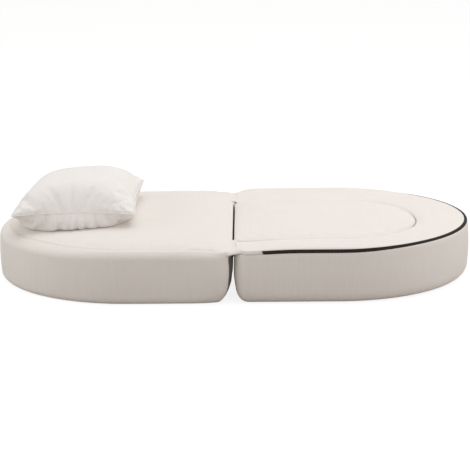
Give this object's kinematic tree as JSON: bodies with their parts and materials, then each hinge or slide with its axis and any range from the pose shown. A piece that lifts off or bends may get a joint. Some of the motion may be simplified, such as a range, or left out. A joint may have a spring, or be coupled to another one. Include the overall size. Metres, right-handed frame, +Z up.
{
  "type": "folding sofa bed",
  "caption": "Low foam sofa bed opened flat: D-shaped halves hinged by fabric, one with a zipped raised rim round an inner pad, and a loose square pillow.",
  "frame": {"origin": "on the floor under the middle of the fold line, between the two halves", "axes": "+X along the bed towards the seat half's round end, +Y across the bed away from the picture's camera, +Z up"},
  "size_m": [1.908, 0.9, 0.413],
  "materials": {
    "linen": "cream linen-like weave, matt",
    "base_cloth": "grey non-slip base cloth",
    "foam": "open-cell upholstery foam",
    "fibre": "white polyester filling",
    "zip_tape": "black woven tape",
    "zip_teeth": "black nylon coil",
    "zip_metal": "black enamelled zinc"
  },
  "bodies": {
    "seat_half": {"seat_core": "foam", "seat_rim_foam": "foam", "seat_pad_foam": "foam", "seat_side_band": "linen", "seat_base_panel": "base_cloth", "seat_rim_cover": "linen", "seat_pad_cover": "linen", "seat_seam_band": "linen", "zip_tape_lower": "zip_tape", "zip_tape_upper": "zip_tape", "zip_teeth": "zip_teeth", "zip_stop_front": "zip_metal", "zip_stop_back": "zip_metal", "hinge_flap_front": "linen", "hinge_flap_back": "linen"},
    "sleeping_half": {"sleep_core": "foam", "sleep_top_panel": "linen", "sleep_side_band": "linen", "sleep_base_panel": "base_cloth"},
    "pillow": {"pillow_top_panel": "linen", "pillow_bottom_panel": "linen", "pillow_filling": "fibre"},
    "zip_slider": {"zip_slider": "zip_metal"},
    "pull_tab": {"zip_pull_tab": "zip_metal"}
  },
  "joints": [
    {"name": "fold", "type": "hinge", "parent": "seat_half", "child": "sleeping_half", "pos_m": [0, 0, 0.2425], "axis": [0, 1, 0], "range_deg": [0, 180]},
    {"name": "pillow_off", "type": "slide", "parent": "sleeping_half", "child": "pillow", "axis": [-0.9935, 0, 0.1135], "range_m": [0, 0.63]},
    {"name": "zip_run", "type": "slide", "parent": "seat_half", "child": "zip_slider", "axis": [1, 0, 0], "range_m": [0, 0.27]},
    {"name": "pull_tab_swing", "type": "hinge", "parent": "zip_slider", "child": "pull_tab", "pos_m": [0.124, 0.4473, 0.21515], "axis": [0, 0, 1], "range_deg": [0, 170]}
  ],
  "couplings": [
    {"joint": "pillow_off", "follows": "fold", "m_per_rad": 0.2005}
  ]
}
